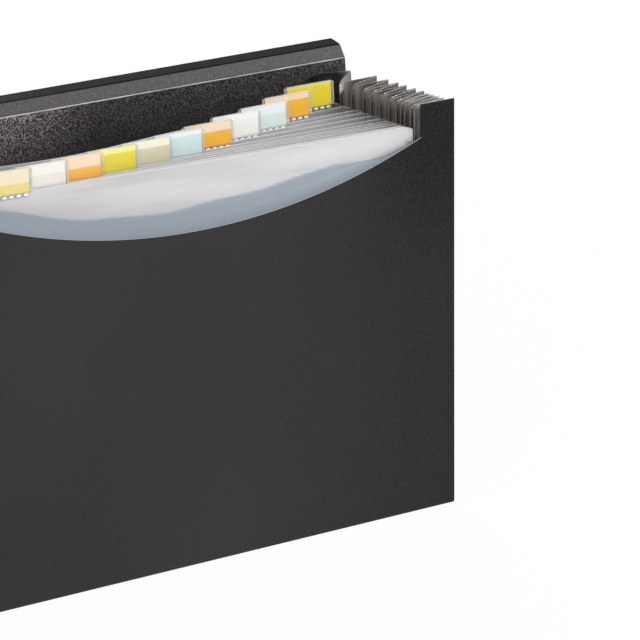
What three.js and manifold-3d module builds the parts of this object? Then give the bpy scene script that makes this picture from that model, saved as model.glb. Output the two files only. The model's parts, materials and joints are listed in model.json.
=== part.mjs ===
// Expanding file folder of polypropylene, standing open with its flap thrown back.
// One stiff cover sheet makes the front, the bottom and the back, and its flap folds on four scored
// creases. Two pleated film gussets join the front to the back, and eleven film dividers hang between
// their inner folds. Each divider has a welded tab pocket that holds a coloured card.
// Millimetres, +Z up, +X to the right, -Y to the front. The origin is the middle of the underside.

import * as THREE from 'three';
import { mergeVertices } from 'three/addons/utils/BufferGeometryUtils.js';
import Module from 'manifold-3d';

const wasm = await Module();
wasm.setup();

// Cover
const folderWidth = 344;
const folderHeight = 240;
const baseDepth = 80;
const topDepth = 104.2;
const coverSheet = 0.8;
const bottomCrease = 1.6;
const backRise = 2.9;
const cutoutMargin = 23;
const cutoutSide = 19.3;
const cutoutDeepest = 47.8;
const cordHoleRadius = 1.6;
const cordHoleSpread = 42;
const cordHoleFromFront = 9;

// Flap: three strips and a panel on scored creases, each bent back from the piece before it
const stripWidth = 8.5;
const stripCount = 3;
const restBends = [30, 42.4, 47, 51.8];
const panelLength = 209;
const panelCornerRise = 26;
const panelCornerRadius = 7;
const creaseThickness = 0.3;
const creaseLand = 0.6;
const creaseGap = 0.3;

// Button and its eyelet
const buttonRadius = 11.2;
const buttonThickness = 1.5;
const buttonEdge = 0.5;
const buttonFromEdge = 18;
const spacerRadius = 6;
const spacerThickness = 2.2;
const eyeletBore = 2.7;
const eyeletWall = 0.4;
const eyeletFlange = 4.2;
const eyeletLip = 0.7;

// Gussets: outer folds near the cover's edges, inner folds where the dividers are welded
const film = 0.3;
const pleatWidth = 22.6;
const innerFoldInset = 25;
const foldRadius = 0.45;
const foldFlat = 0.1;
const flangeWidth = 19;
const gussetFloor = 2.4;
const pleatTopDrop = 1.6;
const pleatCorner = 4.4;

// Pockets, front to back, at each gusset. The last one takes the depth that is left. The dividers stand
// in a pack at the left, behind a wide front pocket, and fan out to the right
const rightPockets = [3.3, 3.7, 5.2, 4.1, 4.4, 6.9, 8.7, 8.9, 7.2, 11.2, 11.3];
const leftPockets = [19, 2.5, 2.5, 2.5, 2.5, 2.5, 4.5, 5, 6, 10, 17.9];

// Dividers and their tabs
const dividerHeight = 226;
const dividerCorner = 3;
const tabWidth = 34;
const tabHeight = 14.5;
const tabCorner = 1.8;
const tabRowRight = 30;
const tabRowLeft = 41;
const tabCavity = 0.9;
const weldWidth = 1.5;

// Cards in the tab pockets
const cardThickness = 0.3;
const clearance = 0.3;

// How finely round forms are cut, and how far a cutting body runs past what it cuts
const arcSteps = 1;
const roundSteps = 40;
const holeSteps = 32;
const bowSteps = 12;
const cornerSteps = 5;
const pleatCornerSteps = 8;
const samePoint = 1e-5;
const overrun = 1;
const cutterDepth = coverSheet * 3;

const across = new THREE.Vector3(1, 0, 0);
const back = new THREE.Vector3(0, 1, 0);
const up = new THREE.Vector3(0, 0, 1);

const finishes = {
  cover: new THREE.MeshStandardMaterial({ color: 0x2e2b2c, roughness: 0.62, metalness: 0 }),
  button: new THREE.MeshStandardMaterial({ color: 0x1b1b1d, roughness: 0.35, metalness: 0 }),
  eyelet: new THREE.MeshStandardMaterial({ color: 0xc9cccf, roughness: 0.25, metalness: 1 }),
  gusset: new THREE.MeshStandardMaterial({
    color: 0x4f463f, roughness: 0.3, metalness: 0, transparent: true, opacity: 0.85,
  }),
  divider: new THREE.MeshStandardMaterial({
    color: 0xdfe2e4, roughness: 0.25, metalness: 0, transparent: true, opacity: 0.5,
  }),
};

const cardColours = {
  yellow: 0xe6d714,
  orange: 0xf5af28,
  white: 0xf5f3f0,
  blue: 0xc8e1e1,
  beige: 0xc8bea0,
  olive: 0xded040,
  straw: 0xf0dc82,
};
const cardOrder = [
  'straw', 'white', 'orange', 'olive', 'beige', 'blue', 'orange', 'white', 'blue', 'orange', 'yellow',
];

// A closed three.js geometry as a solid that can be joined and cut.
function toSolid(geometry) {
  const bare = geometry.clone();
  bare.deleteAttribute('normal');
  bare.deleteAttribute('uv');
  const merged = mergeVertices(bare, 1e-5);
  return new wasm.Manifold(new wasm.Mesh({
    numProp: 3,
    vertProperties: new Float32Array(merged.attributes.position.array),
    triVerts: new Uint32Array(merged.index.array),
  }));
}

// A solid back as a three.js geometry.
function toGeometry(solid) {
  const mesh = solid.getMesh();
  const geometry = new THREE.BufferGeometry();
  geometry.setAttribute('position', new THREE.BufferAttribute(mesh.vertProperties, 3));
  geometry.setIndex(new THREE.BufferAttribute(mesh.triVerts, 1));
  return geometry;
}

function namedMesh(name, geometry, material) {
  const faceted = geometry.index ? geometry.toNonIndexed() : geometry;
  faceted.computeVertexNormals();
  const mesh = new THREE.Mesh(faceted, material);
  mesh.name = name;
  return mesh;
}

// An open path through corners, with an arc of the given radius at each inner corner.
function roundedPath(corners, radius) {
  const path = new THREE.Path();
  path.moveTo(corners[0].x, corners[0].y);
  for (let i = 1; i < corners.length - 1; i += 1) {
    const corner = corners[i];
    const toPrevious = corners[i - 1].clone().sub(corner).normalize();
    const toNext = corners[i + 1].clone().sub(corner).normalize();
    const halfAngle = Math.acos(toPrevious.dot(toNext)) / 2;
    const centre = toPrevious.clone().add(toNext).normalize()
      .multiplyScalar(radius / Math.sin(halfAngle)).add(corner);
    const reach = radius / Math.tan(halfAngle);
    const start = toPrevious.clone().multiplyScalar(reach).add(corner);
    const end = toNext.clone().multiplyScalar(reach).add(corner);
    const clockwise = toPrevious.cross(toNext) > 0;
    path.lineTo(start.x, start.y);
    path.absarc(
      centre.x, centre.y, radius,
      Math.atan2(start.y - centre.y, start.x - centre.x),
      Math.atan2(end.y - centre.y, end.x - centre.x),
      clockwise,
    );
  }
  const last = corners[corners.length - 1];
  path.lineTo(last.x, last.y);
  const points = path.getPoints(arcSteps);
  return points.filter((p, i) => i === 0 || p.distanceTo(points[i - 1]) > samePoint);
}

// The outline of a sheet seen on edge: a path widened to both sides by half the sheet.
function sheetOutline(points, halfAt) {
  const left = [];
  const right = [];
  points.forEach((point, i) => {
    const before = point.clone().sub(points[Math.max(i - 1, 0)]);
    const after = points[Math.min(i + 1, points.length - 1)].clone().sub(point);
    const inward = (i === 0 ? after : before).clone().normalize();
    const outward = (i === points.length - 1 ? before : after).clone().normalize();
    const along = inward.clone().add(outward).normalize();
    const half = halfAt(i) / along.dot(inward);
    const side = new THREE.Vector2(-along.y, along.x).multiplyScalar(half);
    left.push(point.clone().add(side));
    right.push(point.clone().sub(side));
  });
  const outline = [...right, ...left.reverse()];
  return THREE.ShapeUtils.area(outline) < 0 ? outline.reverse() : outline;
}

// A plane outline carried along a third direction: u and v are the outline's own axes.
function extrude(shape, depth, u, v, curveSegments = roundSteps) {
  const geometry = new THREE.ExtrudeGeometry(shape, { depth, bevelEnabled: false, curveSegments });
  const w = u.clone().cross(v);
  return geometry.applyMatrix4(new THREE.Matrix4().makeBasis(u, v, w));
}

// A solid between two like outlines of a sheet at two heights. The second half of an outline runs back
// along the sheet's other face, so its quads are cut on the other diagonal and the faces stay parallel.
function loft(lower, upper, lowerHeight, upperHeight) {
  const count = lower.length;
  const position = [];
  lower.forEach((p) => position.push(p.x, p.y, lowerHeight));
  upper.forEach((p) => position.push(p.x, p.y, upperHeight));
  const index = [];
  for (let i = 0; i < count; i += 1) {
    const next = (i + 1) % count;
    if (i < count / 2) {
      index.push(i, next, count + next, i, count + next, count + i);
    } else {
      index.push(i, next, count + i, next, count + next, count + i);
    }
  }
  THREE.ShapeUtils.triangulateShape(lower, []).forEach(([a, b, c]) => index.push(a, c, b));
  THREE.ShapeUtils.triangulateShape(upper, []).forEach(([a, b, c]) => {
    index.push(count + a, count + b, count + c);
  });
  const geometry = new THREE.BufferGeometry();
  geometry.setAttribute('position', new THREE.Float32BufferAttribute(position, 3));
  geometry.setIndex(index);
  return geometry;
}

// How far the pockets are open at a height, as a share of the open depth at the top.
function spread(height) {
  return (baseDepth + (topDepth - baseDepth) * (height / folderHeight)) / topDepth;
}

// Y of a place in the bag, from its depth behind the front panel when measured at the top.
function bagY(depth, height) {
  return depth * spread(height) - baseDepth / 2;
}

function deepen(pockets) {
  let depth = 0;
  return pockets.map((pocket) => {
    depth += pocket;
    return depth;
  });
}

const rightDepths = deepen(rightPockets);
const leftDepths = deepen(leftPockets);
const dividerCount = rightDepths.length;
const tabPitch = (folderWidth - tabRowRight - tabRowLeft - tabWidth) / (dividerCount - 1);

// Cover: front panel, bottom and back wall in one sheet, with the thumb cut-out and two cord holes
const creaseHeight = folderHeight + backRise;
const flapCrease = new THREE.Vector2(
  bagY(topDepth, creaseHeight) + coverSheet / 2,
  creaseHeight,
);
const wallFoot = new THREE.Vector2(baseDepth / 2 + coverSheet / 2, coverSheet / 2);
const wallAlong = flapCrease.clone().sub(wallFoot).normalize();

function coverSection() {
  const frontY = -baseDepth / 2 - coverSheet / 2;
  const wallEnd = flapCrease.clone().addScaledVector(wallAlong, -creaseGap / 2);
  const corners = [
    new THREE.Vector2(frontY, folderHeight),
    new THREE.Vector2(frontY, coverSheet / 2),
    wallFoot,
    wallEnd,
  ];
  const points = roundedPath(corners, bottomCrease);
  points.splice(points.length - 1, 0, flapCrease.clone().addScaledVector(wallAlong, -creaseLand));
  const last = points.length - 1;
  return sheetOutline(points, (i) => (i === last ? creaseThickness : coverSheet) / 2);
}

function thumbCutout() {
  const half = folderWidth / 2 - cutoutMargin;
  const sagitta = cutoutDeepest - cutoutSide;
  const radius = (half * half + sagitta * sagitta) / (2 * sagitta);
  const centreZ = folderHeight - cutoutDeepest + radius;
  const sweep = Math.asin(half / radius);
  const shape = new THREE.Shape();
  shape.moveTo(half, folderHeight + overrun);
  shape.lineTo(-half, folderHeight + overrun);
  shape.lineTo(-half, folderHeight - cutoutSide);
  shape.absarc(0, centreZ, radius, -Math.PI / 2 - sweep, -Math.PI / 2 + sweep, false);
  shape.closePath();
  return extrude(shape, cutterDepth, across, up).translate(0, -baseDepth / 2 + coverSheet, 0);
}

function cordHole(x) {
  const hole = new THREE.CylinderGeometry(cordHoleRadius, cordHoleRadius, cutterDepth, holeSteps);
  return hole.rotateX(Math.PI / 2).translate(x, -baseDepth / 2 + cordHoleFromFront, coverSheet / 2);
}

function buildCover() {
  const section = new THREE.Shape(coverSection());
  const sheet = extrude(section, folderWidth, back, up).translate(-folderWidth / 2, 0, 0);
  const cover = toSolid(sheet)
    .subtract(toSolid(thumbCutout()))
    .subtract(toSolid(cordHole(-cordHoleSpread / 2)))
    .subtract(toSolid(cordHole(cordHoleSpread / 2)));
  return namedMesh('cover', toGeometry(cover), finishes.cover);
}

// A stiff plate between two creases, along its own +Y from the first crease, thinned at each crease.
function plateSection(length, endCrease) {
  const points = [
    new THREE.Vector2(creaseGap / 2, 0),
    new THREE.Vector2(creaseLand, 0),
    new THREE.Vector2(endCrease ? length - creaseLand : length, 0),
  ];
  if (endCrease) {
    points.push(new THREE.Vector2(length - creaseGap / 2, 0));
  }
  const thin = (i) => i === 0 || (endCrease && i === points.length - 1);
  return new THREE.Shape(sheetOutline(points, (i) => (thin(i) ? creaseThickness : coverSheet) / 2));
}

function buildStrip(number) {
  const strip = extrude(plateSection(stripWidth, true), folderWidth, back, up);
  strip.translate(-folderWidth / 2, 0, 0);
  return namedMesh(`flap_strip_${number}`, strip, finishes.cover);
}

// The panel's outline in its own plane: square at the crease, with a shallow bow along the far edge.
function panelOutline() {
  const half = folderWidth / 2;
  const radius = (half * half + panelCornerRise * panelCornerRise) / (2 * panelCornerRise);
  const centreY = panelLength - radius;
  const r = panelCornerRadius;
  const cornerX = half - r;
  const cornerY = centreY + Math.sqrt((radius - r) ** 2 - cornerX ** 2);
  const lean = Math.atan2(cornerX, cornerY - centreY);
  const shape = new THREE.Shape();
  shape.moveTo(-half, 0);
  shape.lineTo(half, 0);
  shape.absarc(cornerX, cornerY, r, 0, Math.PI / 2 - lean, false);
  shape.absarc(0, centreY, radius, Math.PI / 2 - lean, Math.PI / 2 + lean, false);
  shape.absarc(-cornerX, cornerY, r, Math.PI / 2 + lean, Math.PI, false);
  shape.closePath();
  return shape;
}

function buildPanel() {
  const depth = cutterDepth;
  const outline = extrude(panelOutline(), depth, across, back, bowSteps).translate(0, 0, -depth / 2);
  const plate = extrude(plateSection(panelLength, false), folderWidth, back, up);
  plate.translate(-folderWidth / 2, 0, 0);
  const holeRadius = eyeletBore + eyeletWall + clearance;
  const hole = new THREE.CylinderGeometry(holeRadius, holeRadius, depth, holeSteps);
  hole.rotateX(Math.PI / 2).translate(0, panelLength - buttonFromEdge, 0);
  const panel = toSolid(plate).intersect(toSolid(outline)).subtract(toSolid(hole));
  return namedMesh('flap_panel', toGeometry(panel), finishes.cover);
}

// The button's pieces stand on the outer face of the panel, which is its own -Z side.
function turned(profile) {
  const points = profile.map(([r, z]) => new THREE.Vector2(r, z));
  points.push(points[0].clone());
  return new THREE.LatheGeometry(points, roundSteps).rotateX(Math.PI / 2);
}

function buildButton() {
  const group = new THREE.Group();
  const hole = eyeletBore + eyeletWall + clearance;
  const face = coverSheet / 2 + clearance;
  const spacerFar = face + spacerThickness;
  const discNear = spacerFar + clearance;
  const discFar = discNear + buttonThickness;
  const edgeCut = buttonEdge * (1 - Math.SQRT1_2);
  const spacer = turned([
    [hole, -spacerFar], [spacerRadius, -spacerFar], [spacerRadius, -face], [hole, -face],
  ]);
  const disc = turned([
    [hole, -discFar],
    [buttonRadius - buttonEdge, -discFar],
    [buttonRadius - edgeCut, -discFar + edgeCut],
    [buttonRadius, -discFar + buttonEdge],
    [buttonRadius, -discNear - buttonEdge],
    [buttonRadius - edgeCut, -discNear - edgeCut],
    [buttonRadius - buttonEdge, -discNear],
    [hole, -discNear],
  ]);
  const tube = eyeletBore + eyeletWall;
  const headNear = -discFar - clearance;
  const rearNear = coverSheet / 2 + clearance;
  const eyelet = turned([
    [eyeletBore, headNear - eyeletLip * 0.4],
    [eyeletBore + eyeletLip * 0.5, headNear - eyeletLip],
    [eyeletFlange - eyeletLip * 0.5, headNear - eyeletLip * 0.8],
    [eyeletFlange, headNear],
    [tube, headNear],
    [tube, rearNear],
    [eyeletFlange, rearNear],
    [eyeletFlange - eyeletLip * 0.5, rearNear + eyeletLip * 0.8],
    [eyeletBore + eyeletLip * 0.5, rearNear + eyeletLip],
    [eyeletBore, rearNear + eyeletLip * 0.4],
  ]);
  group.add(namedMesh('button_spacer', spacer, finishes.button));
  group.add(namedMesh('button_disc', disc, finishes.button));
  group.add(namedMesh('button_eyelet', eyelet, finishes.eyelet));
  group.position.y = panelLength - buttonFromEdge;
  return group;
}

// The flap's pieces in a chain of groups, one at each crease.
function buildFlap() {
  const root = new THREE.Group();
  root.position.set(0, flapCrease.x, flapCrease.y);
  root.rotation.x = Math.atan2(wallAlong.y, wallAlong.x);
  let crease = root;
  restBends.forEach((bend, i) => {
    const next = new THREE.Group();
    next.rotation.x = -THREE.MathUtils.degToRad(bend);
    next.position.y = i === 0 ? 0 : stripWidth;
    crease.add(next);
    if (i < stripCount) {
      next.add(buildStrip(i + 1));
    } else {
      next.add(buildPanel());
      next.add(buildButton());
    }
    crease = next;
  });
  return root;
}

// A gusset in plan at one height: a flange on the front panel, a fold in at each divider and out
// between them, and a flange on the back wall. Each fold is a small round bend.
function gussetPlan(side, depths, height) {
  const corners = [];
  const add = (inset, y) => corners.push(new THREE.Vector2(side * (folderWidth / 2 - inset), y));
  const flangeY = clearance + film / 2;
  const frontY = bagY(0, height) + flangeY;
  const backY = bagY(topDepth, height) - flangeY;
  const edgeInset = innerFoldInset - pleatWidth;
  const foldHalf = foldRadius + foldFlat / 2;
  add(edgeInset + flangeWidth, frontY);
  add(edgeInset, frontY);
  add(edgeInset, frontY + 2 * foldHalf);
  const folds = depths.map((depth) => bagY(depth, height));
  folds.forEach((y, i) => {
    add(innerFoldInset, y - foldHalf);
    add(innerFoldInset, y + foldHalf);
    const next = i + 1 < folds.length ? folds[i + 1] : backY - foldHalf;
    const halfPocket = (next - y) / 2 - foldHalf;
    const outerInset = innerFoldInset - Math.sqrt(pleatWidth ** 2 - halfPocket ** 2);
    add(outerInset, y + halfPocket);
    add(outerInset, y + halfPocket + 2 * foldHalf);
  });
  add(innerFoldInset, backY - 2 * foldHalf);
  add(innerFoldInset, backY);
  add(innerFoldInset - flangeWidth, backY);
  return sheetOutline(roundedPath(corners, foldRadius), () => film / 2);
}

// The waste above a gusset: its top edge falls a little from the outer folds and rounds off at the
// inner ones.
function gussetWaste(side) {
  const tip = innerFoldInset + foldRadius + film;
  const shoulder = tip - pleatCorner;
  const shoulderZ = folderHeight - pleatTopDrop;
  const shape = new THREE.Shape();
  shape.moveTo(-overrun, folderHeight);
  shape.lineTo(shoulder, shoulderZ);
  shape.absellipse(shoulder, shoulderZ - pleatCorner, pleatCorner, pleatCorner, Math.PI / 2, 0, true);
  shape.lineTo(tip + overrun, shoulderZ - pleatCorner);
  shape.lineTo(tip + overrun, folderHeight + overrun);
  shape.lineTo(-overrun, folderHeight + overrun);
  shape.closePath();
  const length = topDepth * 2;
  const waste = extrude(shape, length, across, up, pleatCornerSteps);
  waste.translate(-folderWidth / 2, length / 2, 0);
  return side < 0 ? waste : waste.rotateZ(Math.PI);
}

function buildGusset(side, depths) {
  const lower = gussetPlan(side, depths, gussetFloor);
  const upper = gussetPlan(side, depths, folderHeight);
  const bellows = toSolid(loft(lower, upper, gussetFloor, folderHeight));
  const trimmed = bellows.subtract(toSolid(gussetWaste(side)));
  const name = side > 0 ? 'gusset_right' : 'gusset_left';
  return namedMesh(name, toGeometry(trimmed), finishes.gusset);
}

// Lays a flat piece on the slanting sheet between a fold of the left gusset and one of the right.
function layOnSheet(geometry, index) {
  const half = folderWidth / 2 - innerFoldInset;
  const position = geometry.attributes.position;
  for (let i = 0; i < position.count; i += 1) {
    const share = (position.getX(i) + half) / (2 * half);
    const depth = leftDepths[index] + (rightDepths[index] - leftDepths[index]) * share;
    position.setY(i, position.getY(i) + bagY(depth, position.getZ(i)));
  }
  return geometry;
}

// A flat block of a divider or card: from x0 to x1, z0 to z1, and y0 to y1 through its thickness.
function slab(x0, x1, z0, z1, y0, y1, topCorner) {
  const shape = new THREE.Shape();
  shape.moveTo(x0, z0);
  shape.lineTo(x1, z0);
  if (topCorner > 0) {
    shape.absarc(x1 - topCorner, z1 - topCorner, topCorner, 0, Math.PI / 2, false);
    shape.absarc(x0 + topCorner, z1 - topCorner, topCorner, Math.PI / 2, Math.PI, false);
  } else {
    shape.lineTo(x1, z1);
    shape.lineTo(x0, z1);
  }
  shape.closePath();
  return extrude(shape, y1 - y0, across, up, cornerSteps).translate(0, y1, 0);
}

// The right-hand end of a tab: the tabs step to the right from the front divider to the back one.
function tabRight(index) {
  return folderWidth / 2 - tabRowRight - (dividerCount - 1 - index) * tabPitch;
}

function buildDivider(index) {
  const end = folderWidth / 2 - innerFoldInset - foldRadius - film / 2 - clearance;
  const half = film / 2;
  const right = tabRight(index);
  const left = right - tabWidth;
  const top = dividerHeight + tabHeight;
  const weldFoot = dividerHeight - weldWidth;
  const front = -half - tabCavity - film;
  const sheet = slab(-end, end, coverSheet + clearance, dividerHeight, -half, half, dividerCorner);
  const tab = slab(left, right, weldFoot, top, front, half, tabCorner);
  const cavity = slab(
    left + weldWidth, right - weldWidth, dividerHeight, top + overrun, -half - tabCavity, -half, 0,
  );
  const divider = toSolid(sheet).add(toSolid(tab)).subtract(toSolid(cavity));
  const geometry = layOnSheet(toGeometry(divider), index);
  const number = String(index + 1).padStart(2, '0');
  return namedMesh(`divider_${number}`, geometry, finishes.divider);
}

function buildCard(index) {
  const right = tabRight(index) - weldWidth - clearance;
  const left = tabRight(index) - tabWidth + weldWidth + clearance;
  const middle = -film / 2 - tabCavity / 2;
  const card = slab(
    left, right,
    dividerHeight + clearance, dividerHeight + tabHeight - clearance,
    middle - cardThickness / 2, middle + cardThickness / 2, 0,
  );
  const number = String(index + 1).padStart(2, '0');
  const colour = cardColours[cardOrder[index % cardOrder.length]];
  const paper = new THREE.MeshStandardMaterial({ color: colour, roughness: 0.8, metalness: 0 });
  return namedMesh(`tab_card_${number}`, layOnSheet(card, index), paper);
}

const folder = new THREE.Group();
folder.add(buildCover());
folder.add(buildFlap());
folder.add(buildGusset(1, rightDepths));
folder.add(buildGusset(-1, leftDepths));
for (let index = 0; index < dividerCount; index += 1) {
  folder.add(buildDivider(index));
  folder.add(buildCard(index));
}

export default folder;
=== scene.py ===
"""Dresses the expanding file folder: black sheet, pleated film gussets, frosted dividers and cards."""

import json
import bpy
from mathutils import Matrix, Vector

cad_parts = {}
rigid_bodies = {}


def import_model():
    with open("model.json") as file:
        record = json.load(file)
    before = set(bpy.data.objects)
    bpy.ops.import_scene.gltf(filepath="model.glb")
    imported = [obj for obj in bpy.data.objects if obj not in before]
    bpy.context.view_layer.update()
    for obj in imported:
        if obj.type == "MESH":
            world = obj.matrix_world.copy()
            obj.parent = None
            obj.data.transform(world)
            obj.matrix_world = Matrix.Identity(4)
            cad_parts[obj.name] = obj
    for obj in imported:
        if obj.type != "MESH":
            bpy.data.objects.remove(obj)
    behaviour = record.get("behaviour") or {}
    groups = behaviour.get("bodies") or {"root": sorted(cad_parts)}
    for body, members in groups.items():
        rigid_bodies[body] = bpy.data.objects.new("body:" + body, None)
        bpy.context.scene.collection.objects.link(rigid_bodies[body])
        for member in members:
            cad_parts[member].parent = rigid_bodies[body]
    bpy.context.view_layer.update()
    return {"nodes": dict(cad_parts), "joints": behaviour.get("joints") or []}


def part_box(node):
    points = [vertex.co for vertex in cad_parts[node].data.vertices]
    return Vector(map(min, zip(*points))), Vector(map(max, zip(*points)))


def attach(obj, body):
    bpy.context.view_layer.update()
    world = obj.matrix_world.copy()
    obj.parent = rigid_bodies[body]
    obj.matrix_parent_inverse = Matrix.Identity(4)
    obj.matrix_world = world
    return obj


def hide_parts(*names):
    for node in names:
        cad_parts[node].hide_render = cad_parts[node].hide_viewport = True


bl_info = {
    "name": "Expanding File Folder",
    "version": (1, 0, 0),
    "blender": (4, 5, 0),
    "location": "View3D > Sidebar > Folder",
    "description": "Makes the sheets, bellows, tab pockets and finishes of an open expanding file",
    "category": "Object",
}

import bpy
import numpy as np
from bpy.props import FloatProperty, FloatVectorProperty, IntProperty, PointerProperty
from mathutils import Matrix, Vector

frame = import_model()

MM = 0.001
COVER_LOW, COVER_HIGH = (np.array(corner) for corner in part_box("cover"))
HALF_WIDTH = float(COVER_HIGH[0])
DIVIDER_NAMES = sorted(name for name in frame["nodes"] if name.startswith("divider_"))
CARD_NAMES = sorted(name for name in frame["nodes"] if name.startswith("tab_card_"))
STRIP_NAMES = sorted(name for name in frame["nodes"] if name.startswith("flap_strip_"))
BAG = "bag"

# Thickness of the cover's sheet, and the strips of a gusset that are welded to the panel and the wall.
COVER_SHEET = 0.8 * MM
FLANGE = 6 * MM

# How far the tops of the rearmost dividers lean forward, last one first, and where along X they do.
LEANS = (10.5 * MM, 6.0 * MM, 2.0 * MM)
LEAN_MIDDLE = -45 * MM
LEAN_REACH = 101 * MM

# The studio: share of plain white in the floor as the camera sees it, and of the even light from behind
# the folder and from in front of it.
FLOOR_GLOW = 0.94
SKY_BEHIND = 0.25
SKY_IN_FRONT = 1.2
SENSOR_WIDTH = 36.0
FRAME_PIXELS = 640

# Lower colour, upper colour and the share of the card that shows the upper one, front card first.
CARD_LOOKS = (
    ((225, 207, 126), (237, 224, 191), 0.58),
    ((222, 218, 210), (236, 233, 227), 0.45),
    ((234, 176, 62), (245, 213, 184), 0.50),
    ((221, 204, 52), (246, 234, 140), 0.24),
    ((205, 199, 168), (240, 236, 215), 0.32),
    ((204, 224, 224), (236, 243, 244), 0.20),
    ((244, 183, 38), (249, 227, 198), 0.38),
    ((244, 242, 237), (252, 251, 249), 0.30),
    ((220, 235, 234), (242, 247, 249), 0.45),
    ((245, 184, 34), (252, 228, 194), 0.26),
    ((233, 213, 8), (242, 229, 104), 0.12),
)


class FolderSizes(bpy.types.PropertyGroup):
    """Sizes that a user would change, in metres."""

    film: FloatProperty(
        name="Film", description="Thickness of the divider and gusset film",
        default=0.25 * MM, unit="LENGTH",
    )
    fold_radius: FloatProperty(
        name="Fold radius", description="Bend of the film at a pleat",
        default=0.45 * MM, unit="LENGTH",
    )
    pleat_width: FloatProperty(
        name="Pleat width", description="Film from an outer fold to an inner one",
        default=22.6 * MM, unit="LENGTH",
    )
    pleat_corner: FloatProperty(
        name="Pleat corner", description="Rounding at the top of an inner fold",
        default=4.4 * MM, unit="LENGTH",
    )
    pleat_drop: FloatProperty(
        name="Pleat drop", description="Fall of a pleat's top edge towards the inner fold",
        default=1.6 * MM, unit="LENGTH",
    )
    wave: FloatProperty(
        name="Wave", description="Ripple of the divider film", default=0.35 * MM, unit="LENGTH"
    )
    tab_width: FloatProperty(
        name="Tab width", description="Width of a tab pocket", default=34 * MM, unit="LENGTH"
    )
    tab_depth: FloatProperty(
        name="Tab depth", description="Thickness of a tab pocket", default=1.4 * MM, unit="LENGTH"
    )
    weld_marks: IntProperty(
        name="Weld marks", description="Heat-seal dashes under each tab", default=7, min=1, max=20
    )
    crease_bead: FloatProperty(
        name="Crease bead", description="Radius of the raised line at a scored crease",
        default=0.34 * MM, unit="LENGTH",
    )


class FolderColours(bpy.types.PropertyGroup):
    """Colours that a user would change, linear."""

    cover: FloatVectorProperty(
        name="Cover", description="Black sheet", subtype="COLOR", size=3,
        default=(0.0245, 0.0217, 0.0225),
    )
    crease: FloatVectorProperty(
        name="Crease", description="Stress line on a scored crease", subtype="COLOR", size=3,
        default=(0.62, 0.62, 0.63),
    )
    # The raw edge's paler colour, put only on edges that look up, so it is also a painted highlight.
    cut_edge: FloatVectorProperty(
        name="Cut edge", description="Raw edge of the sheet", subtype="COLOR", size=3,
        default=(0.42, 0.41, 0.40),
    )
    gusset: FloatVectorProperty(
        name="Gusset", description="Smoky film", subtype="COLOR", size=3,
        default=(0.030, 0.023, 0.018),
    )
    # Film whitened at a fold, also the painted highlight on the folds and the painted light on the lit
    # pleats.
    gusset_fold: FloatVectorProperty(
        name="Gusset fold", description="Film whitened at a fold", subtype="COLOR", size=3,
        default=(0.27, 0.245, 0.22),
    )
    divider: FloatVectorProperty(
        name="Divider", description="Frosted film", subtype="COLOR", size=3,
        default=(0.635, 0.635, 0.645),
    )
    # Also the white of the painted glints on the gusset folds.
    weld: FloatVectorProperty(
        name="Weld", description="Milky heat seal", subtype="COLOR", size=3, default=(0.9, 0.9, 0.9)
    )
    weld_rim: FloatVectorProperty(
        name="Weld rim", description="Clear melted rim of a seal", subtype="COLOR", size=3,
        default=(0.10, 0.10, 0.11),
    )
    divider_low: FloatVectorProperty(
        name="Divider shade", description="Frosted film where it hangs away from the light",
        subtype="COLOR", size=3, default=(0.33, 0.38, 0.43),
    )
    button: FloatVectorProperty(
        name="Button", description="Moulded button", subtype="COLOR", size=3,
        default=(0.012, 0.012, 0.013),
    )
    eyelet: FloatVectorProperty(
        name="Eyelet", description="Rolled eyelet", subtype="COLOR", size=3,
        default=(0.80, 0.81, 0.83),
    )


class StudioSettings(bpy.types.PropertyGroup):
    """The camera, fitted to the photograph, and the light."""

    azimuth: FloatProperty(
        name="Azimuth", description="Camera round the object",
        default=np.radians(-35.19), subtype="ANGLE",
    )
    elevation: FloatProperty(
        name="Elevation", description="Camera above the horizon",
        default=np.radians(16.86), subtype="ANGLE",
    )
    roll: FloatProperty(
        name="Roll", description="Camera tilt", default=np.radians(-0.508), subtype="ANGLE"
    )
    distance: FloatProperty(
        name="Distance", description="Camera from its target", default=2.7281, unit="LENGTH"
    )
    aim_right: FloatProperty(
        name="Aim right", description="Picture centre from the front right foot",
        default=-0.07739, unit="LENGTH",
    )
    aim_up: FloatProperty(
        name="Aim up", description="Picture centre above the front right foot",
        default=0.10511, unit="LENGTH",
    )
    focal_pixels: FloatProperty(
        name="Focal length", description="In widths of a 640 px frame's pixels", default=4738.0
    )
    key_watts: FloatProperty(name="Key", description="Front soft box", default=30.0, unit="POWER")
    top_watts: FloatProperty(name="Top", description="Overhead soft box", default=26.0, unit="POWER")
    rear_watts: FloatProperty(name="Rear", description="Low soft box behind", default=42.0, unit="POWER")
    world: FloatProperty(name="World", description="Strength of the even light", default=0.55)


def sizes():
    return bpy.context.scene.folder_sizes


def colours():
    return bpy.context.scene.folder_colours


def srgb(rgb):
    """Linear colour from 0-255 screen values: the standard curve with its short straight foot."""
    c = np.asarray(rgb, float) / 255
    return tuple(np.where(c <= 0.04045, c / 12.92, ((c + 0.055) / 1.055) ** 2.4))


def grid_faces(rows, columns, wrap):
    """Quads between neighbouring points of a rows by columns grid, closed along the rows if wrap."""
    last = rows if wrap else rows - 1
    i, j = np.meshgrid(np.arange(last), np.arange(columns - 1), indexing="ij")
    n = (i + 1) % rows
    quads = np.stack([i * columns + j, n * columns + j, n * columns + j + 1, i * columns + j + 1], -1)
    return quads.reshape(-1, 4)


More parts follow.
